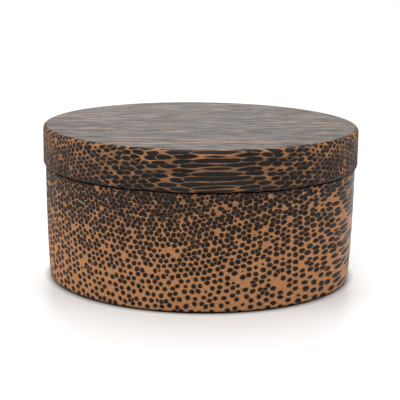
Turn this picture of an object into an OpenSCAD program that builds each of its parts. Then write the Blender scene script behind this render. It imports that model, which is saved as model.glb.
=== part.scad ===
// Round jewelry box turned from palm wood, with a lift-off lid and a velvet lining.
// The lid drops over a rim on the body and sits on the shoulder outside that rim.
// Millimetres, +Z up. The origin is the middle of the base, on the table.

/* [Outside] */
// Diameter of the lid
lid_d = 120; // [90:1:160]
// Height of the lid, from its seat on the shoulder to its flat top
lid_h = 15.4; // [13:0.2:24]
// Height of the wooden body, from its underside to the shoulder
body_h = 42.6; // [28:0.2:80]
// How far the lid stands out past the body all round
lid_overhang = 0.9; // [0.5:0.1:2]
// How much the body's radius shrinks from the shoulder down to the foot
side_draw = 1.3; // [0.6:0.1:4]

/* [Edges] */
// Rounding of the lid's top edge
lid_top_round = 1.5; // [0.6:0.1:2.5]
// Rounding of the lid's lower edge
lid_lip_round = 1.3; // [0.4:0.1:2]
// Rounding of the shoulder's outer edge
shoulder_round = 0.5; // [0.2:0.1:1]
// Rounding of the body's foot
foot_round = 1.2; // [0.4:0.1:2]
// Rounding of both edges of the rim
rim_round = 0.8; // [0.3:0.1:0.9]
// Rounding of the edge that leads the lid over the rim
lid_mouth_round = 0.6; // [0.2:0.1:1]

/* [Walls] */
// Width of the shoulder that carries the lid
shoulder_w = 4.5; // [3:0.1:7]
// Thickness of the rim
rim_wall = 3.5; // [2:0.1:5]
// Height of the rim above the shoulder
rim_h = 5; // [3:0.2:6]
// Width of the ring under the lid that sits on the shoulder
seat_w = 2.2; // [1.5:0.1:3]
// Height of the gap that shows as a dark line between the lid and the body
seam_gap = 0.4; // [0.2:0.1:0.8]
// Thickness of the wooden floor, from the body's underside to the inside
floor_t = 6.5; // [4:0.1:10]

/* [Lining] */
// Thickness of the card on the floor and in the lid
card_t = 1.2; // [0.8:0.1:1.6]
// Thickness of the card strip round the wall
wall_card_t = 0.8; // [0.5:0.1:1.2]
// Thickness of the velvet round the wall
velvet_t = 1; // [0.6:0.1:1.5]
// How far the velvet's top edge stays below the rim
lining_drop = 1.2; // [1:0.1:4]
// Thickness of velvet and wadding at the edge of the floor pad
floor_loft = 1.8; // [1.2:0.1:3]
// How much higher the floor pad is in the middle than at its edge
floor_crown = 1.2; // [0.4:0.1:2]
// Thickness of velvet and wadding at the edge of the lid pad
lid_loft = 1.2; // [1:0.1:2]
// How much thicker the lid pad is in the middle than at its edge
lid_crown = 0.8; // [0.3:0.1:1.5]
// Rounding of the pads' edges
pad_round = 0.9; // [0.4:0.1:1]
// Velvet that wraps the edge of a pad's card
pad_wrap = 0.7; // [0.4:0.1:1.2]

/* [Base felt] */
// Thickness of the felt disc
felt_t = 1.5; // [1:0.1:3]
// How far the felt stands out below the wood
felt_stand = 0.4; // [0.2:0.1:0.8]
// Wood left between the foot's edge and the felt
felt_border = 6; // [4:0.5:15]

/* [Clearances] */
// Radial play of the lid on the rim
lid_play = 0.2; // [0.1:0.05:0.4]
// Gap between the rim's top and the lid pad
rim_gap = 0.6; // [0.3:0.1:1]
// Radial gap round each glued card, strip or felt
glue_gap = 0.1; // [0.05:0.05:0.2]
// Radial gap round each pad
pad_gap = 0.3; // [0.2:0.1:0.5]

/* [Hidden] */
$fn = 180;

// Heights, from the table up
under_z = felt_stand;
shoulder_z = under_z + body_h;
lid_edge_z = shoulder_z + seam_gap;
rim_z = shoulder_z + rim_h;
lid_top_z = shoulder_z + lid_h;
floor_z = under_z + floor_t;
lining_z = rim_z - lining_drop;
ceiling_z = rim_z + rim_gap + lid_loft + card_t;

// Radii, from the outside in
lid_r = lid_d / 2;
shoulder_r = lid_r - lid_overhang;
foot_r = shoulder_r - side_draw;
rim_r = shoulder_r - shoulder_w;
recess_r = rim_r + lid_play;
seat_r = recess_r + seat_w;
cavity_r = rim_r - rim_wall;
wall_card_r = cavity_r - glue_gap;
velvet_r = wall_card_r - wall_card_t - glue_gap;
floor_pad_r = velvet_r - velvet_t - pad_gap;
lid_pad_r = recess_r - pad_gap;
felt_seat_r = foot_r - felt_border;

// The body's side is one arc that is upright at the shoulder and drawn in at the foot
side_arc_r = (body_h * body_h + side_draw * side_draw) / (2 * side_draw);
side_centre = [shoulder_r - side_arc_r, shoulder_z];

// Steps along a long shallow curve, and along the small rounding that ends it
curve_steps = 12;
round_steps = 6;

// How far each cut runs past the face that it opens
cut_over = 1;

// Points along an arc, up to but without its end
function arc_points(centre, arc_r, from, to, steps) =
    [for (i = [0:steps - 1]) let (a = from + (to - from) * i / steps) centre + arc_r * [cos(a), sin(a)]];

// Radius of the card inside a pad
function card_r(pad_r) = pad_r - pad_wrap - glue_gap;

// One band of a turned outline, between two radii and two heights
module band(r0, r1, z0, z1) {
    translate([r0, z0])
        square([r1 - r0, z1 - z0]);
}

// What a rounding takes off a square corner. out_r and out_z point out of the wood, as 1 or -1
module corner_waste(r, z, round_r, out_r, out_z) {
    reach = round_r + cut_over;
    centre = [r - out_r * round_r, z - out_z * round_r];
    difference() {
        translate([out_r > 0 ? centre[0] : centre[0] - reach, out_z > 0 ? centre[1] : centre[1] - reach])
            square(reach);
        translate(centre)
            circle(round_r);
    }
}

// Half outline of the body's block: a rounded foot that runs on into the drawn-in side
module body_block() {
    drop = body_h - foot_round;
    lean = asin(drop / (side_arc_r - foot_round));
    foot_centre = side_centre + (side_arc_r - foot_round) * [cos(lean), -sin(lean)];
    polygon(concat(
        [[0, under_z]],
        arc_points(foot_centre, foot_round, -90, -lean, round_steps),
        arc_points(side_centre, side_arc_r, -lean, 0, curve_steps),
        [[shoulder_r, shoulder_z], [0, shoulder_z]]
    ));
}

// Half outline of a pad on height 0: a rounded edge that runs on into the crown, with the
// velvet drawn down round the card that lies in the pad's underside
module pad_outline(pad_r, loft, crown) {
    top_z = card_t + loft + crown;
    crown_r = (pad_r * pad_r + crown * crown) / (2 * crown);
    crown_centre = [0, top_z - crown_r];
    lean = acos((pad_r - pad_round) / (crown_r - pad_round));
    edge_centre = crown_centre + (crown_r - pad_round) * [cos(lean), sin(lean)];
    difference() {
        polygon(concat(
            [[0, 0], [pad_r, 0]],
            arc_points(edge_centre, pad_round, 0, lean, round_steps),
            arc_points(crown_centre, crown_r, lean, 90, curve_steps),
            [[0, top_z]]
        ));
        band(0, card_r(pad_r) + glue_gap, -cut_over, card_t);
    }
}

module box_body() {
    color("#8a5f41")
        rotate_extrude()
            difference() {
                union() {
                    body_block();
                    band(0, rim_r, floor_z, rim_z);
                }
                corner_waste(shoulder_r, shoulder_z, shoulder_round, 1, 1);
                corner_waste(rim_r, rim_z, rim_round, 1, 1);
                corner_waste(cavity_r, rim_z, rim_round, -1, 1);
                band(0, cavity_r, floor_z, rim_z + cut_over);
                band(0, felt_seat_r, under_z - cut_over, felt_t);
            }
}

module lid() {
    color("#6d5645")
        rotate_extrude()
            difference() {
                band(0, lid_r, shoulder_z, lid_top_z);
                corner_waste(lid_r, lid_top_z, lid_top_round, 1, 1);
                band(seat_r, lid_r + cut_over, shoulder_z - cut_over, lid_edge_z);
                corner_waste(lid_r, lid_edge_z, lid_lip_round, 1, -1);
                corner_waste(recess_r, shoulder_z, lid_mouth_round, -1, -1);
                band(0, recess_r, shoulder_z - cut_over, ceiling_z);
            }
}

module wall_board() {
    color("#b59a78")
        rotate_extrude()
            band(wall_card_r - wall_card_t, wall_card_r, floor_z, lining_z - velvet_t);
}

module wall_lining() {
    color("#4a3228")
        rotate_extrude()
            difference() {
                band(velvet_r - velvet_t, wall_card_r, floor_z, lining_z);
                corner_waste(velvet_r - velvet_t, lining_z, velvet_t / 2, -1, 1);
                band(velvet_r, wall_card_r + cut_over, floor_z - cut_over, lining_z - velvet_t);
            }
}

module floor_board() {
    color("#b59a78")
        translate([0, 0, floor_z])
            cylinder(r = card_r(floor_pad_r), h = card_t);
}

module floor_pad() {
    color("#4a3228")
        translate([0, 0, floor_z])
            rotate_extrude()
                pad_outline(floor_pad_r, floor_loft, floor_crown);
}

module lid_board() {
    color("#b59a78")
        translate([0, 0, ceiling_z - card_t])
            cylinder(r = card_r(lid_pad_r), h = card_t);
}

module lid_pad() {
    color("#4a3228")
        translate([0, 0, ceiling_z])
            mirror([0, 0, 1])
                rotate_extrude()
                    pad_outline(lid_pad_r, lid_loft, lid_crown);
}

module base_felt() {
    color("#2c2a29")
        cylinder(r = felt_seat_r - glue_gap, h = felt_t);
}

box_body();
lid();
wall_board();
wall_lining();
floor_board();
floor_pad();
lid_board();
lid_pad();
base_felt();
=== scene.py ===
"""Looks of a round jewelry box: turned palm wood, a velvet lining and a felt base."""

import logging
import math
from dataclasses import dataclass
from enum import Enum
from typing import Any

import bpy
from mathutils import Euler, Matrix, Vector


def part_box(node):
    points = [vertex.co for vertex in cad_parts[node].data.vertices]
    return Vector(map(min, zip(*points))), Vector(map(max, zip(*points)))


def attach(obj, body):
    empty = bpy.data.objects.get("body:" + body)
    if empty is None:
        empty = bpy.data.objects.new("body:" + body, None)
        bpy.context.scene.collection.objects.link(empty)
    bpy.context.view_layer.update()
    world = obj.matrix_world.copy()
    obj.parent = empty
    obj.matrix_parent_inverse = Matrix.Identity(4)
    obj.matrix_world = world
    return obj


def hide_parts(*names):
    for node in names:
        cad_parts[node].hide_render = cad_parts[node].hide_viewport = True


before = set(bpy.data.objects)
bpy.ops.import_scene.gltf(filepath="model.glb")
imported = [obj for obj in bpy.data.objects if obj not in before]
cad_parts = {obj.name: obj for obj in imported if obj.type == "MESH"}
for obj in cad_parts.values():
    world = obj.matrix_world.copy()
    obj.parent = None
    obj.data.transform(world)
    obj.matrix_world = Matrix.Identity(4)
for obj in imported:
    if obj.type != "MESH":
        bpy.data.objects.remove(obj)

LOG = logging.getLogger("jewelry_box")
MM = 0.001
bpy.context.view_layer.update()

# Blender's noise hardly leaves this range
NOISE_LOW = 0.3
NOISE_HIGH = 0.7
# A grid point makes a bundle if its squared distance from the slice, in grid steps, is below about 0.09.
# Any other gets a size below nothing, so that it doesn't show
SLICE_NEAR = 0.085
SLICE_FAR = 0.095
DROPPED = -0.3

Point = tuple[float, float]
Triple = tuple[float, float, float]
Material = bpy.types.Material
Piece = bpy.types.Object
Socket = bpy.types.NodeSocket
Tree = bpy.types.NodeTree


class Body(Enum):
    """The two halves that part when the lid is lifted."""

    BOX = "box"
    LID = "lid"


class Facing(Enum):
    """Which way a pad's soft face looks, as the sign of Z."""

    UP = 1
    DOWN = -1


class Slot(Enum):
    """The materials that the box is made of."""

    WOOD = "palm_wood"
    VELVET = "lining_velvet"
    CARD = "lining_card"
    FELT = "base_felt"


def linear(hex_colour: str) -> tuple[float, float, float, float]:
    """Turns an sRGB hex colour into the linear colour that a shader takes.

    Args:
        hex_colour: Six hex digits after a hash mark.

    Returns:
        Red, green and blue from 0 to 1, and an alpha of 1.
    """
    channels = [int(hex_colour[i:i + 2], 16) / 255 for i in (1, 3, 5)]
    red, green, blue = [c / 12.92 if c <= 0.04045 else ((c + 0.055) / 1.055) ** 2.4 for c in channels]
    return red, green, blue, 1.0


def add_node(tree: Tree, kind: str, settings: dict[str, Any] | None = None,
             inputs: dict[str | int, Any] | None = None) -> bpy.types.Node:
    """Adds a shader node with its settings and links.

    Args:
        tree: The node tree that gets the node.
        kind: Blender's name for the node type, without its common beginning.
        settings: The node's own properties.
        inputs: A value, or an output socket to link, for each input by name or number.

    Returns:
        The new node.
    """
    node = tree.nodes.new("ShaderNode" + kind)
    for name, value in (settings or {}).items():
        setattr(node, name, value)
    for key, value in (inputs or {}).items():
        if isinstance(value, Socket):
            tree.links.new(value, node.inputs[key])
        else:
            node.inputs[key].default_value = value
    return node


def new_material(name: str) -> Material:
    """Makes an empty material with nodes."""
    material = bpy.data.materials.new(name)
    material.use_nodes = True
    material.node_tree.nodes.clear()
    return material


def dress(piece: Piece, finish: Material, body: Body, node: str) -> None:
    """Gives a piece its finish and puts it in the place of a CAD node.

    Args:
        piece: The finished piece.
        finish: Its material.
        body: The half of the box that it moves with.
        node: The CAD node that it stands for.
    """
    piece.data.materials.clear()
    piece.data.materials.append(finish)
    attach(piece, body.value)
    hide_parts(node)


def arc_points(centre: Point, radius: float, start: float, end: float, steps: int) -> list[Point]:
    """Lists points along an arc of a turned outline, with both ends.

    Args:
        centre: Radius and height of the arc's centre.
        radius: The arc's own radius.
        start: Angle of the first point in degrees, 0 pointing out and 90 up.
        end: Angle of the last point in degrees.
        steps: How many chords stand for the arc.

    Returns:
        Pairs of radius and height.
    """
    angles = [math.radians(start + (end - start) * i / steps) for i in range(steps + 1)]
    return [(centre[0] + radius * math.cos(a), centre[1] + radius * math.sin(a)) for a in angles]


@dataclass(frozen=True)
class PalmWood:
    """Black palm wood, turned, sanded and lacquered to a satin shine.

    Straight dark fibre bundles run through a pale orange ground. Where the surface cuts across them
    the eye sees round dots, and where it runs along them it sees long streaks, so the figure is one
    solid pattern and not a picture laid on the surface. The bundles keep their size and stand closer
    together towards the palm's bark, so their spacing is given at two heights across the fibres. The
    The bark lies upwards, leaning by an angle to the left. Along the fibres the lacquer leaves a soft shine,
    broken into fine striae, and the cut ends stay dull. Faces that look up get a greyer ground: painted
    sheen, standing for the bright room mirrored in the top.
    """

    name: str
    fibre: Triple
    # Bundles: their size, the two heights at which their spacing is given, and how they stand
    bundle_mm: float
    low_mm: float
    high_mm: float
    spacing_low_mm: float
    spacing_high_mm: float
    bark_lean_deg: float = 0.0
    row_turn_deg: float = 45.0
    randomness: float = 0.5
    small_share: float = 0.15
    small_size: float = 0.55
    # The pale line where two bundles meet, the roundness of its corners, and the bundles' soft edge
    line_mm: float = 0.1
    melt_mm: float = 0.2
    edge_mm: float = 0.07
    bundle: str = "#0f0f10"
    bundle_worn: str = "#1b1817"
    # Ground between the bundles, a little darker close to them, with flecks
    ground_low: str = "#b47e53"
    ground_high: str = "#a9744a"
    # Painted sheen: a greyer ground on faces that look up, from how squarely up they face, for the bright
    # room mirrored in the top
    ground_painted_sheen: str = "#846b57"
    painted_sheen_from: float = 0.8
    ground_along: float = 0.3
    halo_mm: float = 0.5
    halo: float = 0.1
    fleck_mm: float = 0.7
    fleck_dark: float = 0.76
    fleck_pale: float = 1.22
    # Smoky patches, real staining that on the lid's lower band is partly painted shade: how much the low and
    # the high wood lean to them, and a shift that places them
    smoke_and_shade: str = "#3b2c24"
    smoke_mm: float = 8.0
    smoke_and_shade_low: float = -0.3
    smoke_high: float = 0.15
    smoke_most: float = 0.85
    smoke_shift_mm: Triple = (0.0, 0.0, 0.0)
    # Surface: end grain is dull, bundles shine more, and striae break the shine up
    roughness: float = 0.42
    end_roughness: float = 0.72
    end_from: float = 0.35
    bundle_shine: float = 0.06
    striae_mm: float = 2.0
    striae_along: float = 0.25
    striae_shine: float = 0.15
    striae_dull: float = 0.22
    striae_relief: float = 0.8
    relief_mm: float = 0.04
    specular: float = 0.25
    ior: float = 1.45

    def upright(self) -> Euler:
        """Gives the turn that stands the fibres along Z and points the way to the bark along Y."""
        along = Vector(self.fibre).normalized()
        lean = math.radians(self.bark_lean_deg)
        bark = Vector((-math.sin(lean), 0, math.cos(lean)))
        rise = (bark - bark.dot(along) * along).normalized()
        return Matrix((rise.cross(along), rise, along)).to_euler()

    def cell_mm(self) -> float:
        """Gives the step of the cubic grid whose slice spaces the bundles."""
        return self.spacing_low_mm / math.sqrt(2)

    def material(self) -> Material:
        """Builds the finish.

        Returns:
            The material, which reads Object coordinates.
        """
        material = new_material(self.name)
        tree = material.node_tree
        place = add_node(tree, "TexCoord").outputs["Object"]
        grain = add_node(tree, "Mapping", {}, {"Vector": place, "Rotation": self.upright()}).outputs[0]
        mask, tone, near = self.bundles(tree, grain)
        ground = self.ground(tree, grain, near)
        dark = add_node(tree, "Mix", {"data_type": "RGBA"},
                        {0: tone, 6: linear(self.bundle), 7: linear(self.bundle_worn)}).outputs[2]
        colour = add_node(tree, "Mix", {"data_type": "RGBA"}, {0: mask, 6: ground, 7: dark}).outputs[2]
        drawn_out = add_node(tree, "Mapping", {}, {
            "Vector": grain, "Scale": (1, 1, self.striae_along)}).outputs[0]
        striae = add_node(tree, "TexNoise", {}, {
            "Vector": drawn_out, "Scale": 1 / (self.striae_mm * MM), "Detail": 3.0}).outputs[0]
        gloss = self.gloss(tree, mask, striae)
        ridges = add_node(tree, "Math", {"operation": "MULTIPLY_ADD"},
                          {0: striae, 1: self.striae_relief, 2: mask}).outputs[0]
        relief = add_node(tree, "Bump", {}, {
            "Height": ridges, "Strength": 0.3, "Distance": self.relief_mm * MM}).outputs[0]
        shader = add_node(tree, "BsdfPrincipled", {}, {
            "Base Color": colour, "Roughness": gloss, "IOR": self.ior, "Specular IOR Level": self.specular,
            "Normal": relief})
        add_node(tree, "OutputMaterial", {}, {"Surface": shader.outputs[0]})
        return material

    def gloss(self, tree: Tree, mask: Socket, striae: Socket) -> Socket:
        """Works out how rough the surface is from how squarely it cuts the fibres.

        Args:
            tree: The material's nodes.
            mask: Where a bundle is, which takes a little more shine.
            striae: Fine streaks along the fibres.

        Returns:
            The roughness.
        """
        facing = add_node(tree, "TexCoord").outputs["Normal"]
        along = tuple(Vector(self.fibre).normalized())
        squarely = add_node(tree, "VectorMath", {"operation": "DOT_PRODUCT"},
                            {0: facing, 1: along}).outputs["Value"]
        end_grain = add_node(tree, "Math", {"operation": "ABSOLUTE"}, {0: squarely}).outputs[0]
        dull = add_node(tree, "MapRange", {}, {
            "Value": end_grain, "From Max": self.end_from,
            "To Min": self.roughness, "To Max": self.end_roughness}).outputs[0]
        shining = add_node(tree, "Math", {"operation": "MULTIPLY_ADD"},
                           {0: mask, 1: -self.bundle_shine, 2: dull}).outputs[0]
        streaked = add_node(tree, "MapRange", {}, {
            "Value": striae, "From Min": NOISE_LOW, "From Max": NOISE_HIGH,
            "To Min": -self.striae_shine, "To Max": self.striae_dull}).outputs[0]
        return add_node(tree, "Math", {"operation": "ADD"}, {0: shining, 1: streaked}).outputs[0]

    def wandering(self, tree: Tree, grain: Socket, size_mm: float, along: float, reach_mm: float) -> Socket:
        """Moves the grain coordinates by a noise, so that the bundles aren't ruled with a straightedge.

        Args:
            tree: The material's nodes.
            grain: Coordinates with the fibres along Z.
            size_mm: How large the noise's features are across the fibres.
            along: How many times longer they are along the fibres.
            reach_mm: How far the noise moves a bundle.

        Returns:
            The moved coordinates.
        """
        drawn_out = add_node(tree, "Mapping", {}, {"Vector": grain, "Scale": (1, 1, 1 / along)}).outputs[0]
        noise = add_node(tree, "TexNoise", {}, {
            "Vector": drawn_out, "Scale": 1 / (size_mm * MM), "Detail": 1.0}).outputs["Color"]
        centred = add_node(tree, "VectorMath", {"operation": "SUBTRACT"},
                           {0: noise, 1: (0.5, 0.5, 0.5)}).outputs[0]
        return add_node(tree, "VectorMath", {"operation": "MULTIPLY_ADD"},
                        {0: centred, 1: (2 * reach_mm * MM,) * 3, 2: grain}).outputs[0]

    def lattice(self, tree: Tree, grain: Socket) -> tuple[Socket, Socket]:
        """Lays out places for the bundles that draw together with height, each place keeping its shape.

        A flat lattice is wrapped into rings whose radius grows by the same share for each step up. That
        scales it alike in both directions, so that round stays round.

        Args:
            tree: The material's nodes.
            grain: Coordinates with the fibres along Z.

        Returns:
            Coordinates on the lattice, and how much they are stretched there.
        """
        rate = math.log(self.spacing_low_mm / self.spacing_high_mm) / ((self.high_mm - self.low_mm) * MM)
        across = add_node(tree, "SeparateXYZ", {}, {0: grain})
        steps = add_node(tree, "Math", {"operation": "MULTIPLY_ADD"},
                         {0: across.outputs["Y"], 1: rate, 2: -rate * self.low_mm * MM}).outputs[0]
        stretch = add_node(tree, "Math", {"operation": "EXPONENT"}, {0: steps}).outputs[0]
        radius = add_node(tree, "Math", {"operation": "DIVIDE"}, {0: stretch, 1: rate}).outputs[0]
        angle = add_node(tree, "Math", {"operation": "MULTIPLY_ADD"}, {
            0: across.outputs["X"], 1: rate, 2: math.radians(self.row_turn_deg)}).outputs[0]
        parts = {}
        for axis, operation in (("X", "COSINE"), ("Y", "SINE")):
            way = add_node(tree, "Math", {"operation": operation}, {0: angle}).outputs[0]
            parts[axis] = add_node(tree, "Math", {"operation": "MULTIPLY"}, {0: radius, 1: way}).outputs[0]
        return add_node(tree, "CombineXYZ", {}, parts).outputs[0], stretch

    def rod(self, tree: Tree, feature: str, cut: Socket, stretch: Socket) -> tuple[Socket, Socket]:
        """Measures how far a place is from the side of one of its two nearest bundles.

        The bundles are those points of a loose cubic grid that lie near one slice square to its diagonal.
        That packs them evenly, three ways, as they grow.

        Args:
            tree: The material's nodes.
            feature: The nearest grid point or the second nearest, in Blender's words.
            cut: Coordinates on the slice.
            stretch: How much they are stretched there.

        Returns:
            The distance in grid steps, below 0 inside the bundle, and a chance number of its own.
        """
        cell = self.cell_mm() * MM
        point = add_node(tree, "TexVoronoi", {"feature": feature}, {
            "Vector": cut, "Scale": 1 / cell, "Randomness": self.randomness})
        across = (1 / (math.sqrt(3) * cell),) * 3
        level = add_node(tree, "VectorMath", {"operation": "DOT_PRODUCT"},
                         {0: point.outputs["Position"], 1: across}).outputs["Value"]
        off = add_node(tree, "Math", {"operation": "SUBTRACT"},
                       {0: level, 1: math.sqrt(3) / 2 * self.randomness}).outputs[0]
        off_squared = add_node(tree, "Math", {"operation": "MULTIPLY"}, {0: off, 1: off}).outputs[0]
        squared = add_node(tree, "Math", {"operation": "POWER"},
                           {0: point.outputs["Distance"], 1: 2.0}).outputs[0]
        flat_squared = add_node(tree, "Math", {"operation": "SUBTRACT"},
                                {0: squared, 1: off_squared}).outputs[0]
        flat = add_node(tree, "Math", {"operation": "SQRT"}, {0: flat_squared}).outputs[0]
        away = add_node(tree, "Math", {"operation": "DIVIDE"}, {0: flat, 1: stretch}).outputs[0]
        chance = add_node(tree, "SeparateColor", {}, {0: point.outputs["Color"]})
        radius = self.bundle_mm / 2 / self.cell_mm()
        size = add_node(tree, "MapRange", {}, {
            "Value": chance.outputs[0], "From Max": self.small_share,
            "To Min": self.small_size * radius, "To Max": radius}).outputs[0]
        kept = add_node(tree, "MapRange", {}, {
            "Value": off_squared, "From Min": SLICE_NEAR, "From Max": SLICE_FAR,
            "To Min": 1.0, "To Max": DROPPED}).outputs[0]
        own = add_node(tree, "Math", {"operation": "MULTIPLY"}, {0: size, 1: kept}).outputs[0]
        gap = add_node(tree, "Math", {"operation": "SUBTRACT"}, {0: away, 1: own}).outputs[0]
        return gap, chance.outputs[2]

    def bundles(self, tree: Tree, grain: Socket) -> tuple[Socket, Socket, Socket]:
        """Draws the fibre bundles as rods that wander a little along the grain.

        Args:
            tree: The material's nodes.
            grain: Coordinates with the fibres along Z.

        Returns:
            Where a bundle is, how worn its own tone is, and how near the ground is to one.
        """
        moved = self.wandering(tree, grain, size_mm=9, along=1.8, reach_mm=0.9)
        moved = self.wandering(tree, moved, size_mm=0.9, along=4, reach_mm=0.18)
        spot, stretch = self.lattice(tree, moved)
        cell = self.cell_mm()
        diagonal = Vector((0, 0, 1)).rotation_difference(Vector((1, 1, 1))).to_euler()
        middle = (self.randomness / 2 * cell * MM,) * 3
        cut = add_node(tree, "Mapping", {}, {
            "Vector": spot, "Rotation": diagonal, "Location": middle}).outputs[0]
        first, tone = self.rod(tree, "F1", cut, stretch)
        second, _ = self.rod(tree, "F2", cut, stretch)
        gap = add_node(tree, "Math", {"operation": "MINIMUM"}, {0: first, 1: second}).outputs[0]
        apart = add_node(tree, "Math", {"operation": "SUBTRACT"}, {0: first, 1: second}).outputs[0]
        lead = add_node(tree, "Math", {"operation": "ABSOLUTE"}, {0: apart}).outputs[0]
        line = add_node(tree, "Math", {"operation": "MULTIPLY_ADD"},
                        {0: lead, 1: -0.5, 2: self.line_mm / 2 / cell}).outputs[0]
        rounded = add_node(tree, "Math", {"operation": "SMOOTH_MAX"},
                           {0: gap, 1: line, 2: self.melt_mm / cell}).outputs[0]
        soft = self.edge_mm / cell
        mask = add_node(tree, "MapRange", {"interpolation_type": "SMOOTHSTEP"}, {
            "Value": rounded, "From Min": -soft, "From Max": soft, "To Min": 1.0, "To Max": 0.0}).outputs[0]
        near = add_node(tree, "MapRange", {}, {
            "Value": rounded, "From Max": self.halo_mm / cell, "To Min": 1.0, "To Max": 0.0}).outputs[0]
        return mask, tone, near

    def ground(self, tree: Tree, grain: Socket, near: Socket) -> Socket:
        """Colours the ground between the bundles, with fine flecks, smoky patches that are partly painted
        shade on the lid's lower band, and a greyer painted sheen on faces that look up.

        Args:
            tree: The material's nodes.
            grain: Coordinates with the fibres along Z.
            near: How near the ground is to a bundle.

        Returns:
            The ground's colour.
        """
        height = add_node(tree, "SeparateXYZ", {}, {0: grain}).outputs["Y"]
        crowd = add_node(tree, "MapRange", {}, {
            "Value": height, "From Min": self.low_mm * MM, "From Max": self.high_mm * MM}).outputs[0]
        plain = add_node(tree, "Mix", {"data_type": "RGBA"},
                         {0: crowd, 6: linear(self.ground_low), 7: linear(self.ground_high)}).outputs[2]
        # Painted sheen: faces that look up turn to a greyer ground, for the bright room mirrored in the top
        facing = add_node(tree, "TexCoord").outputs["Normal"]
        upwards = add_node(tree, "SeparateXYZ", {}, {0: facing}).outputs["Z"]
        painted_sheen_share = add_node(tree, "MapRange", {}, {
            "Value": upwards, "From Min": self.painted_sheen_from}).outputs[0]
        plain = add_node(tree, "Mix", {"data_type": "RGBA"},
                         {0: painted_sheen_share, 6: plain, 7: linear(self.ground_painted_sheen)}).outputs[2]
        drawn_out = add_node(tree, "Mapping", {}, {
            "Vector": grain, "Scale": (1, 1, self.ground_along),
            "Location": Vector(self.smoke_shift_mm) * MM}).outputs[0]
        flecks = add_node(tree, "TexNoise", {}, {
            "Vector": drawn_out, "Scale": 1 / (self.fleck_mm * MM), "Detail": 2.0}).outputs[0]
        value = add_node(tree, "MapRange", {}, {
            "Value": flecks, "From Min": NOISE_LOW, "From Max": NOISE_HIGH,
            "To Min": self.fleck_dark, "To Max": self.fleck_pale}).outputs[0]
        shaded = add_node(tree, "Math", {"operation": "MULTIPLY_ADD"},
                          {0: near, 1: -self.halo, 2: value}).outputs[0]
        flecked = add_node(tree, "HueSaturation", {}, {"Color": plain, "Value": shaded}).outputs[0]
        cloud = add_node(tree, "TexNoise", {}, {
            "Vector": drawn_out, "Scale": 1 / (self.smoke_mm * MM), "Detail": 2.0}).outputs[0]
        # On the lid the smoky patches lean to its low edge, which paints shade along its lower band
        bias = add_node(tree, "MapRange", {}, {
            "Value": crowd, "To Min": self.smoke_and_shade_low, "To Max": self.smoke_high}).outputs[0]
        both = add_node(tree, "Math", {"operation": "ADD"}, {0: cloud, 1: bias}).outputs[0]
        smoke_and_shade_share = add_node(tree, "MapRange", {"interpolation_type": "SMOOTHSTEP"}, {
            "Value": both, "From Min": 0.45, "From Max": 0.95, "To Max": self.smoke_most}).outputs[0]
        return add_node(tree, "Mix", {"data_type": "RGBA"},
                        {0: smoke_and_shade_share, 6: flecked, 7: linear(self.smoke_and_shade)}).outputs[2]


@dataclass(frozen=True)
class Velvet:
    """Short-pile cotton velvet, woven, dyed and sheared.

    The upright pile swallows light that falls straight in and glows where a curve turns away. Where it
    was stroked it lies over, which shows as soft lighter and darker patches. The tufts are drawn about
    twice as coarse as real ones, so that they show.
    """

    name: str = "brown_cotton_velvet"
    pile: str = "#46302a"
    stroked: str = "#5c4136"
    glow: str = "#c8a793"
    tuft_mm: float = 0.45
    stroke_mm: float = 16.0

    def material(self) -> Material:
        """Builds the finish.

        Returns:
            The material, which reads Object coordinates.
        """
        material = new_material(self.name)
        tree = material.node_tree
        place = add_node(tree, "TexCoord").outputs["Object"]
        tufts = add_node(tree, "TexNoise", {}, {
            "Vector": place, "Scale": 1 / (self.tuft_mm * MM), "Detail": 2.0}).outputs[0]
        stroke = add_node(tree, "TexNoise", {}, {
            "Vector": place, "Scale": 1 / (self.stroke_mm * MM), "Detail": 1.0, "Distortion": 0.6}).outputs[0]
        lying = add_node(tree, "MapRange", {"interpolation_type": "SMOOTHSTEP"}, {
            "Value": stroke, "From Min": 0.38, "From Max": 0.66}).outputs[0]
        nap = add_node(tree, "Mix", {"data_type": "RGBA"},
                       {0: lying, 6: linear(self.pile), 7: linear(self.stroked)}).outputs[2]
        depth = add_node(tree, "MapRange", {}, {
            "Value": tufts, "From Min": NOISE_LOW, "From Max": NOISE_HIGH,
            "To Min": 0.62, "To Max": 1.3}).outputs[0]
        colour = add_node(tree, "HueSaturation", {}, {"Color": nap, "Value": depth}).outputs[0]
        relief = add_node(tree, "Bump", {}, {
            "Height": tufts, "Strength": 0.5, "Distance": 0.2 * MM}).outputs[0]
        shader = add_node(tree, "BsdfPrincipled", {}, {
            "Base Color": colour, "Roughness": 0.95, "IOR": 1.45, "Specular IOR Level": 0.1, "Normal": relief,
            "Sheen Weight": 0.35, "Sheen Roughness": 0.4, "Sheen Tint": linear(self.glow)})
        add_node(tree, "OutputMaterial", {}, {"Surface": shader.outputs[0]})
        return material


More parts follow.
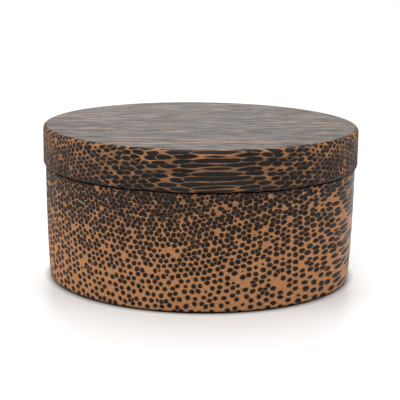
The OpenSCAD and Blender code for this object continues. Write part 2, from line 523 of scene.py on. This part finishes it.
@dataclass(frozen=True)
class Greyboard:
    """Plain greyboard, pressed from waste paper: a dull grey-brown with pale and dark paper fibres."""

    name: str = "pressed_greyboard"
    pulp: str = "#a3906f"
    fibre: str = "#7b6a52"
    fibre_mm: float = 0.6

    def material(self) -> Material:
        """Builds the finish.

        Returns:
            The material, which reads Object coordinates.
        """
        material = new_material(self.name)
        tree = material.node_tree
        place = add_node(tree, "TexCoord").outputs["Object"]
        fibres = add_node(tree, "TexNoise", {}, {
            "Vector": place, "Scale": 1 / (self.fibre_mm * MM), "Detail": 3.0, "Distortion": 1.2}).outputs[0]
        amount = add_node(tree, "MapRange", {}, {
            "Value": fibres, "From Min": 0.45, "From Max": 0.75}).outputs[0]
        colour = add_node(tree, "Mix", {"data_type": "RGBA"},
                          {0: amount, 6: linear(self.pulp), 7: linear(self.fibre)}).outputs[2]
        relief = add_node(tree, "Bump", {}, {
            "Height": fibres, "Strength": 0.2, "Distance": 0.1 * MM}).outputs[0]
        shader = add_node(tree, "BsdfPrincipled", {}, {
            "Base Color": colour, "Roughness": 0.85, "IOR": 1.45, "Specular IOR Level": 0.3,
            "Normal": relief})
        add_node(tree, "OutputMaterial", {}, {"Surface": shader.outputs[0]})
        return material


@dataclass(frozen=True)
class WoolFelt:
    """Pressed wool felt, dyed charcoal: a matt nap in which single paler fibres lie every way."""

    name: str = "charcoal_wool_felt"
    nap: str = "#2a2827"
    hair: str = "#575250"
    hair_mm: float = 0.5
    clump_mm: float = 5.0

    def material(self) -> Material:
        """Builds the finish.

        Returns:
            The material, which reads Object coordinates.
        """
        material = new_material(self.name)
        tree = material.node_tree
        place = add_node(tree, "TexCoord").outputs["Object"]
        hairs = add_node(tree, "TexNoise", {}, {
            "Vector": place, "Scale": 1 / (self.hair_mm * MM), "Detail": 4.0, "Distortion": 2.5}).outputs[0]
        clumps = add_node(tree, "TexNoise", {}, {
            "Vector": place, "Scale": 1 / (self.clump_mm * MM), "Detail": 1.0}).outputs[0]
        amount = add_node(tree, "MapRange", {}, {
            "Value": hairs, "From Min": 0.48, "From Max": 0.78, "To Max": 0.9}).outputs[0]
        matted = add_node(tree, "Mix", {"data_type": "RGBA"},
                          {0: amount, 6: linear(self.nap), 7: linear(self.hair)}).outputs[2]
        thick = add_node(tree, "MapRange", {}, {
            "Value": clumps, "From Min": NOISE_LOW, "From Max": NOISE_HIGH,
            "To Min": 0.85, "To Max": 1.15}).outputs[0]
        colour = add_node(tree, "HueSaturation", {}, {"Color": matted, "Value": thick}).outputs[0]
        relief = add_node(tree, "Bump", {}, {
            "Height": hairs, "Strength": 0.6, "Distance": 0.25 * MM}).outputs[0]
        shader = add_node(tree, "BsdfPrincipled", {}, {
            "Base Color": colour, "Roughness": 0.95, "IOR": 1.5, "Specular IOR Level": 0.1, "Normal": relief,
            "Sheen Weight": 0.2, "Sheen Roughness": 0.5})
        add_node(tree, "OutputMaterial", {}, {"Surface": shader.outputs[0]})
        return material


@dataclass(frozen=True)
class Lathe:
    """Turns outlines into smooth pieces about the Z axis."""

    steps: int = 240
    crease_deg: float = 40.0
    merge: float = 0.004 * MM

    def turn(self, name: str, outline: list[Point], open_deg: float = 0.0) -> Piece:
        """Traces an outline point by point and spins it.

        Args:
            name: The new piece's name.
            outline: Pairs of radius and height in metres, from axis to axis, or a closed loop.
            open_deg: How far the turn stops short of a whole round, which leaves two closed ends.

        Returns:
            The piece, at the origin, with its faces pointing out.
        """
        bpy.ops.object.select_all(action="DESELECT")
        first = Vector((outline[0][0], 0, outline[0][1]))
        bpy.ops.mesh.primitive_plane_add(size=MM, enter_editmode=True)
        bpy.ops.mesh.merge(type="CENTER")
        bpy.ops.transform.translate(value=first)
        for here, there in zip(outline, outline[1:]):
            step = (there[0] - here[0], 0, there[1] - here[1])
            bpy.ops.mesh.extrude_region_move(TRANSFORM_OT_translate={"value": step})
        bpy.ops.mesh.select_all(action="SELECT")
        angle = math.tau - math.radians(open_deg)
        bpy.ops.mesh.spin(steps=self.steps, angle=angle, center=(0, 0, 0), axis=(0, 0, 1))
        bpy.ops.mesh.select_all(action="SELECT")
        bpy.ops.mesh.remove_doubles(threshold=self.merge)
        bpy.ops.mesh.fill_holes(sides=0)
        bpy.ops.mesh.normals_make_consistent(inside=False)
        bpy.ops.object.mode_set(mode="OBJECT")
        bpy.ops.object.shade_smooth_by_angle(angle=math.radians(self.crease_deg))
        piece = bpy.context.active_object
        piece.name = name
        return piece


@dataclass
class WoodLid:
    """The turned lid: a flat cap with round edges, hollowed to drop over the rim."""

    radius: float
    low: float
    high: float
    ceiling: float
    recess_radius: float = 54.8 * MM
    seat_width: float = 2.2 * MM
    seam_gap: float = 0.4 * MM
    top_round: float = 1.5 * MM
    lip_round: float = 1.3 * MM
    mouth_round: float = 0.6 * MM
    edge_steps: int = 10
    mouth_steps: int = 6

    def outline(self) -> list[Point]:
        """Lists the lid's outline from the middle of its ceiling round to the middle of its top."""
        seat_radius = self.recess_radius + self.seat_width
        edge = self.low + self.seam_gap
        lip = (self.radius - self.lip_round, edge + self.lip_round)
        mouth = (self.recess_radius + self.mouth_round, self.low + self.mouth_round)
        top = (self.radius - self.top_round, self.high - self.top_round)
        return [
            (0, self.ceiling), (self.recess_radius, self.ceiling),
            *arc_points(mouth, self.mouth_round, 180, 270, self.mouth_steps),
            (seat_radius, self.low), (seat_radius, edge),
            *arc_points(lip, self.lip_round, -90, 0, self.edge_steps),
            *arc_points(top, self.top_round, 0, 90, self.edge_steps),
            (0, self.high),
        ]

    def build(self, finish: Material) -> Piece:
        """Turns the lid and dresses it.

        Args:
            finish: The wood.

        Returns:
            The lid, riding on its body.
        """
        piece = Lathe().turn("wood_lid", self.outline())
        dress(piece, finish, Body.LID, "lid")
        return piece


@dataclass
class WoodBody:
    """The turned body: a drawn-in side, a shoulder for the lid, a rim, and a recess for the felt."""

    radius: float
    low: float
    shoulder: float
    rim: float
    floor: float
    side_draw: float = 1.3 * MM
    foot_round: float = 1.2 * MM
    shoulder_round: float = 0.5 * MM
    rim_round: float = 0.8 * MM
    rim_radius: float = 54.6 * MM
    cavity_radius: float = 51.1 * MM
    felt_seat_radius: float = 51.8 * MM
    felt_seat: float = 1.5 * MM
    foot_steps: int = 8
    side_steps: int = 24
    edge_steps: int = 6

    def outline(self) -> list[Point]:
        """Lists the body's outline from the middle of the felt seat round to the middle of the floor."""
        tall = self.shoulder - self.low
        side_radius = (tall ** 2 + self.side_draw ** 2) / (2 * self.side_draw)
        side = (self.radius - side_radius, self.shoulder)
        foot_reach = side_radius - self.foot_round
        lean = math.asin((tall - self.foot_round) / foot_reach)
        foot = (side[0] + foot_reach * math.cos(lean), side[1] - foot_reach * math.sin(lean))
        lean_deg = math.degrees(lean)
        edge = (self.radius - self.shoulder_round, self.shoulder - self.shoulder_round)
        top_lean = math.degrees(math.asin(self.shoulder_round / side_radius))
        outer = (self.rim_radius - self.rim_round, self.rim - self.rim_round)
        inner = (self.cavity_radius + self.rim_round, self.rim - self.rim_round)
        return [
            (0, self.felt_seat), (self.felt_seat_radius, self.felt_seat), (self.felt_seat_radius, self.low),
            *arc_points(foot, self.foot_round, -90, -lean_deg, self.foot_steps)[:-1],
            *arc_points(side, side_radius, -lean_deg, -top_lean, self.side_steps)[:-1],
            *arc_points(edge, self.shoulder_round, 0, 90, self.edge_steps),
            (self.rim_radius, self.shoulder),
            *arc_points(outer, self.rim_round, 0, 90, self.edge_steps),
            *arc_points(inner, self.rim_round, 90, 180, self.edge_steps),
            (self.cavity_radius, self.floor), (0, self.floor),
        ]

    def build(self, finish: Material) -> Piece:
        """Turns the body and dresses it.

        Args:
            finish: The wood.

        Returns:
            The body, riding on its CAD body.
        """
        piece = Lathe().turn("wood_body", self.outline())
        dress(piece, finish, Body.BOX, "box_body")
        return piece


@dataclass
class WallLining:
    """A velvet strip round the wall, turned out over its card at the top, its ends butted at the back."""

    radius: float
    low: float
    high: float
    cloth: float = 1.0 * MM
    card: float = 0.8 * MM
    glue_gap: float = 0.1 * MM
    fold_round: float = 0.5 * MM
    seam_gap: float = 0.12 * MM
    seam_round: float = 0.4 * MM
    fold_steps: int = 6
    seam_steps: int = 4
    near: float = 0.01 * MM

    def back(self) -> float:
        """Gives the radius of the velvet's glued side."""
        return self.radius - self.card - self.glue_gap

    def outline(self) -> list[Point]:
        """Lists the strip's outline as a closed loop, from the foot of its pile side."""
        face = self.back() - self.cloth
        inner = (face + self.fold_round, self.high - self.fold_round)
        outer = (self.radius - self.fold_round, self.high - self.fold_round)
        under = self.high - self.cloth
        return [
            (face, self.low),
            *arc_points(inner, self.fold_round, 180, 90, self.fold_steps),
            *arc_points(outer, self.fold_round, 90, 0, self.fold_steps),
            (self.radius, under), (self.back(), under), (self.back(), self.low), (face, self.low),
        ]

    def flat(self) -> tuple[float, float]:
        """Gives the strip's cut length and width, measured along the middle of the cloth."""
        middle = self.back() - self.cloth / 2
        turned = math.pi / 2 * self.fold_round + self.card + self.glue_gap
        return math.tau * middle - self.seam_gap, self.high - self.cloth - self.low + turned

    def soften_seam(self, piece: Piece) -> None:
        """Rounds the two upright edges that meet at the seam.

        Args:
            piece: The strip, with its ends beside the X axis.
        """
        face = self.back() - self.cloth
        mesh = piece.data
        rim = {v.index for v in mesh.vertices if math.hypot(v.co.x, v.co.y) < face + self.near}
        for part in (mesh.vertices, mesh.edges, mesh.polygons):
            part.foreach_set("select", [False] * len(part))
        for edge in mesh.edges:
            ends = [mesh.vertices[i].co for i in edge.vertices]
            at_seam = all(abs(end.y) < self.seam_gap and end.x > 0 for end in ends)
            upright = abs(ends[0].z - ends[1].z) > self.cloth
            edge.select = at_seam and upright and set(edge.vertices) <= rim
        bpy.ops.object.mode_set(mode="EDIT")
        bpy.ops.mesh.select_mode(type="EDGE")
        bpy.ops.mesh.bevel(offset=self.seam_round, segments=self.seam_steps)
        bpy.ops.mesh.select_mode(type="VERT")
        bpy.ops.object.mode_set(mode="OBJECT")

    def build(self, finish: Material) -> Piece:
        """Makes the strip and dresses it.

        Args:
            finish: The velvet.

        Returns:
            The strip, riding on the box.
        """
        gap_deg = math.degrees(self.seam_gap / self.back())
        piece = Lathe().turn("wall_velvet", self.outline(), gap_deg)
        self.soften_seam(piece)
        piece.rotation_euler.z = math.radians(90 + gap_deg / 2)
        bpy.ops.object.transform_apply(location=False, rotation=True, scale=False)
        dress(piece, finish, Body.BOX, "wall_lining")
        return piece


@dataclass
class VelvetPad:
    """Velvet drawn over wadding and round the edge of a card, crowned in the middle."""

    name: str
    node: str
    board: str
    body: Body
    facing: Facing
    crown: float
    edge_round: float = 0.8 * MM
    wrap: float = 0.7 * MM
    slack: float = 0.3 * MM
    voxel: float = 1.2 * MM
    pressure: float = 4.0
    frames: int = 20
    edge_steps: int = 6
    crown_steps: int = 24
    crease_deg: float = 50.0

    def levels(self) -> tuple[float, float, float, float]:
        """Gives the pad's radius, the heights of its card's two faces, and its own height over the card."""
        low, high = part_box(self.node)
        card_low, card_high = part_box(self.board)
        if self.facing is Facing.UP:
            return high.x, card_low.z, card_high.z, high.z - card_high.z
        return high.x, card_high.z, card_low.z, card_low.z - low.z

    def outline(self) -> list[Point]:
        """Lists the outline of the slack wadding on its card, from the card's middle round to the crown."""
        radius, _, face, tall = self.levels()
        radius -= self.slack
        tall -= self.slack
        crown_radius = (radius ** 2 + self.crown ** 2) / (2 * self.crown)
        lean = math.acos((radius - self.edge_round) / (crown_radius - self.edge_round))
        reach = crown_radius - self.edge_round
        edge = (reach * math.cos(lean), tall - crown_radius + reach * math.sin(lean))
        lean_deg = math.degrees(lean)
        heights = [
            (0, 0), (radius, 0),
            *arc_points(edge, self.edge_round, 0, lean_deg, self.edge_steps)[:-1],
            *arc_points((0, tall - crown_radius), crown_radius, lean_deg, 90, self.crown_steps),
        ]
        return [(r, face + self.facing.value * h) for r, h in heights]

    def puff(self, piece: Piece) -> None:
        """Lets the wadding press the velvet out, with the velvet held where it lies on the card.

        Args:
            piece: The slack pad.
        """
        piece.data.remesh_voxel_size = self.voxel
        bpy.ops.object.voxel_remesh()
        face = self.levels()[2]
        start = [v.co.copy() for v in piece.data.vertices]
        held = piece.vertex_groups.new(name="held")
        held.add([i for i, co in enumerate(start) if abs(co.z - face) < self.voxel / 2], 1.0, "REPLACE")
        cloth = piece.modifiers.new("puff", "CLOTH")
        cloth.settings.vertex_group_mass = held.name
        cloth.settings.use_pressure = True
        cloth.settings.uniform_pressure_force = self.pressure
        cloth.settings.effector_weights.gravity = 0
        cloth.point_cache.frame_end = self.frames
        for step in range(1, self.frames + 1):
            bpy.context.scene.frame_set(step)
        bpy.ops.object.modifier_apply(modifier=cloth.name)
        bpy.context.scene.frame_set(1)
        for vertex, place in zip(piece.data.vertices, start):
            moved = vertex.co - place
            if moved.length > self.slack:
                vertex.co = place + self.slack * moved.normalized()
        smooth = piece.modifiers.new("smooth", "SUBSURF")
        smooth.levels = smooth.render_levels = 1
        bpy.ops.object.modifier_apply(modifier=smooth.name)

    def draw_round_card(self, piece: Piece) -> None:
        """Opens the pad over its card and draws its edge down round the card.

        Args:
            piece: The puffed pad, closed over the card's face.
        """
        radius, back, face, _ = self.levels()
        up = self.facing.value
        shrink = (radius - self.wrap) / radius
        bpy.ops.object.mode_set(mode="EDIT")
        bpy.ops.mesh.select_all(action="SELECT")
        cut = face + up * self.slack
        bpy.ops.mesh.bisect(plane_co=(0, 0, cut), plane_no=(0, 0, up), clear_inner=True)
        bpy.ops.mesh.extrude_region_move(TRANSFORM_OT_translate={"value": (0, 0, back - cut)})
        bpy.ops.mesh.extrude_region_move(TRANSFORM_OT_translate={"value": (0, 0, 0)})
        bpy.ops.transform.resize(value=(shrink, shrink, 1), center_override=(0, 0, back))
        bpy.ops.mesh.extrude_region_move(TRANSFORM_OT_translate={"value": (0, 0, face - back)})
        bpy.ops.mesh.edge_face_add()
        bpy.ops.mesh.select_all(action="SELECT")
        bpy.ops.mesh.normals_make_consistent(inside=False)
        bpy.ops.object.mode_set(mode="OBJECT")
        bpy.ops.object.shade_smooth_by_angle(angle=math.radians(self.crease_deg))

    def build(self, finish: Material) -> Piece:
        """Makes the pad and dresses it.

        Args:
            finish: The velvet.

        Returns:
            The pad, riding on its half of the box.
        """
        piece = Lathe().turn(self.name, self.outline())
        self.puff(piece)
        self.draw_round_card(piece)
        dress(piece, finish, self.body, self.node)
        return piece


@dataclass
class BaseFelt:
    """The felt disc let into the underside, its edges pressed soft."""

    radius: float
    low: float
    high: float
    edge_round: float = 0.35 * MM
    edge_steps: int = 5

    def build(self, finish: Material) -> Piece:
        """Cuts the disc and dresses it.

        Args:
            finish: The felt.

        Returns:
            The disc, riding on the box.
        """
        inset = self.radius - self.edge_round
        outline = [
            (0, self.low),
            *arc_points((inset, self.low + self.edge_round), self.edge_round, -90, 0, self.edge_steps),
            *arc_points((inset, self.high - self.edge_round), self.edge_round, 0, 90, self.edge_steps),
            (0, self.high),
        ]
        piece = Lathe().turn("felt_disc", outline)
        dress(piece, finish, Body.BOX, "base_felt")
        return piece


@dataclass
class CardBoards:
    """The card strip and the two card discs that stiffen the lining."""

    nodes: tuple[str, ...] = ("wall_board", "floor_board", "lid_board")

    def dress(self, finish: Material) -> None:
        """Gives each card its finish.

        Args:
            finish: The greyboard.
        """
        for node in self.nodes:
            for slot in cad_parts[node].material_slots:
                slot.material = finish


@dataclass(frozen=True)
class SoftBox:
    """A lamp with a large white face, which lights softly."""

    name: str
    place: Triple
    width: float
    length: float
    watts: float

    def hang(self, aim: Triple) -> None:
        """Hangs the lamp.

        Args:
            aim: The point that it faces.
        """
        data = bpy.data.lights.new(self.name, "AREA")
        data.shape = "RECTANGLE"
        data.size = self.width
        data.size_y = self.length
        data.energy = self.watts
        lamp = bpy.data.objects.new(self.name, data)
        bpy.context.scene.collection.objects.link(lamp)
        lamp.location = self.place
        lamp.rotation_euler = (Vector(aim) - Vector(self.place)).to_track_quat("-Z", "Y").to_euler()


@dataclass
class Studio:
    """A white table in soft light from both sides, front and back, seen as in the photograph."""

    camera_place: Triple = (0.0, -496.2 * MM, 134.6 * MM)
    camera_down_deg: float = 12.09
    camera_roll_deg: float = 0.74
    lens_mm: float = 117.9
    sensor_mm: float = 36.0
    floor_half: float = 0.9
    ambient: float = 0.5
    front_dim: float = 0.25
    floor_colour: str = "#e4e4e4"
    floor_seen: str = "#fbfbfb"
    shadow_reach: float = 3 * MM
    lamp_aim: Triple = (0.0, 0.0, 30 * MM)
    lamps: tuple[SoftBox, ...] = (
        SoftBox("soft_box_front", (-0.1, -1.0, 1.35), width=0.5, length=1.4, watts=11.0),
        SoftBox("soft_box_back", (0.0, 0.75, 1.3), width=0.5, length=1.5, watts=10.0),
        SoftBox("soft_box_left", (-1.1, -0.45, 0.8), width=0.8, length=0.8, watts=8.2),
        SoftBox("soft_box_right", (1.1, -0.45, 0.8), width=0.8, length=0.8, watts=6.0),
    )

    def build_camera(self) -> None:
        """Sets up the camera at the photograph's viewing angle."""
        data = bpy.data.cameras.new("camera")
        data.sensor_width = self.sensor_mm
        data.lens = self.lens_mm
        camera = bpy.data.objects.new("camera", data)
        bpy.context.scene.collection.objects.link(camera)
        level = Euler((math.radians(90 - self.camera_down_deg), 0, 0)).to_matrix()
        roll = Euler((0, 0, math.radians(self.camera_roll_deg))).to_matrix()
        camera.location = self.camera_place
        camera.rotation_euler = (level @ roll).to_euler()
        bpy.context.scene.camera = camera

    def seen(self, tree: Tree) -> Socket:
        """Tells rays that end in the eye, straight or by a mirror or glass, from rays that light things.

        Args:
            tree: The nodes of the world or the table.

        Returns:
            1 for a ray that shows the surface, and 0 for one that it only lights.
        """
        path = add_node(tree, "LightPath")
        shows = path.outputs["Is Camera Ray"]
        for name in ("Is Glossy Ray", "Is Transmission Ray"):
            shows = add_node(tree, "Math", {"operation": "MAXIMUM"},
                             {0: shows, 1: path.outputs[name]}).outputs[0]
        return shows

    def build_world(self) -> None:
        """Makes a white room, dimmer on the side where the camera stands."""
        world = bpy.data.worlds.new("white_room")
        world.use_nodes = True
        tree = world.node_tree
        tree.nodes.clear()
        strength = add_node(tree, "MapRange", {}, {
            "Value": self.seen(tree), "To Min": self.ambient, "To Max": 1.0}).outputs[0]
        towards = add_node(tree, "TexCoord").outputs["Generated"]
        depth = add_node(tree, "SeparateXYZ", {}, {0: towards}).outputs["Y"]
        shade = add_node(tree, "MapRange", {"interpolation_type": "SMOOTHSTEP"}, {
            "Value": depth, "From Min": -0.9, "From Max": 0.3,
            "To Min": self.front_dim, "To Max": 1.0}).outputs[0]
        level = add_node(tree, "Math", {"operation": "MAXIMUM"},
                         {0: shade, 1: add_node(tree, "LightPath").outputs["Is Camera Ray"]}).outputs[0]
        shader = add_node(tree, "Background", {}, {"Color": level, "Strength": strength})
        add_node(tree, "OutputWorld", {}, {"Surface": shader.outputs[0]})
        bpy.context.scene.world = world

    def build_floor(self) -> None:
        """Lays the white table top, which keeps the box's shadow."""
        bpy.ops.object.select_all(action="DESELECT")
        bpy.ops.mesh.primitive_plane_add(size=2 * self.floor_half)
        floor = bpy.context.active_object
        floor.name = "table_top"
        material = new_material("white_table")
        tree = material.node_tree
        colour = add_node(tree, "Mix", {"data_type": "RGBA"}, {
            0: self.seen(tree), 6: linear(self.floor_colour), 7: linear(self.floor_seen)}).outputs[2]
        shaded = add_node(tree, "AmbientOcclusion", {},
                          {"Color": colour, "Distance": self.shadow_reach}).outputs["Color"]
        lit = add_node(tree, "BsdfPrincipled", {}, {"Base Color": shaded, "Roughness": 0.35})
        add_node(tree, "OutputMaterial", {}, {"Surface": lit.outputs[0]})
        floor.data.materials.append(material)

    def build(self) -> None:
        """Builds the camera, the table and the light."""
        self.build_camera()
        self.build_world()
        self.build_floor()
        for lamp in self.lamps:
            lamp.hang(self.lamp_aim)
        bpy.context.scene.view_settings.view_transform = "Standard"


def main() -> None:
    """Builds every piece in order."""
    logging.basicConfig(level=logging.INFO)
    lid_low, lid_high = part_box("lid")
    body_low, body_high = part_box("box_body")
    lining_low, lining_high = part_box("wall_lining")
    felt_low, felt_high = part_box("base_felt")
    Studio().build()
    body_wood = PalmWood(
        "lacquered_palm_wood_body", fibre=(0.24, 0.97, 0.04), bundle_mm=1.76, low_mm=15.0, high_mm=45.0,
        spacing_low_mm=2.38, spacing_high_mm=1.68, bark_lean_deg=1.5, smoke_shift_mm=(-15.0, -2.0, 56.0))
    # The lid's smoky patches lean to its lower band: real staining together with painted shade there
    lid_wood = PalmWood(
        "lacquered_palm_wood_lid", fibre=(0.996, 0.087, 0.02), bundle_mm=1.66, low_mm=43.0, high_mm=58.0,
        spacing_low_mm=1.75, spacing_high_mm=1.86, row_turn_deg=20.2, randomness=0.43, line_mm=0.2,
        ground_low="#a8744c", ground_high="#a8744c", smoke_mm=5.0, smoke_and_shade_low=0.33, smoke_high=0.04,
        smoke_shift_mm=(40.0, 18.0, -18.0))
    velvet = Velvet().material()
    body = WoodBody(body_high.x, body_low.z, lid_low.z, body_high.z, lining_low.z)
    lid = WoodLid(lid_high.x, lid_low.z, lid_high.z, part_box("lid_board")[1].z)
    lining = WallLining(lining_high.x, lining_low.z, lining_high.z)
    floor_pad = VelvetPad("floor_cushion", "floor_pad", "floor_board", Body.BOX, Facing.UP, crown=1.2 * MM)
    lid_pad = VelvetPad("lid_cushion", "lid_pad", "lid_board", Body.LID, Facing.DOWN, crown=0.8 * MM)
    felt = BaseFelt(felt_high.x, felt_low.z, felt_high.z)
    made = [
        body.build(body_wood.material()),
        lid.build(lid_wood.material()),
        lining.build(velvet),
        floor_pad.build(velvet),
        lid_pad.build(velvet),
        felt.build(WoolFelt().material()),
    ]
    for piece in made:
        LOG.info("made %s with %d faces", piece.name, len(piece.data.polygons))
    CardBoards().dress(Greyboard().material())


if __name__ == "__main__":
    main()
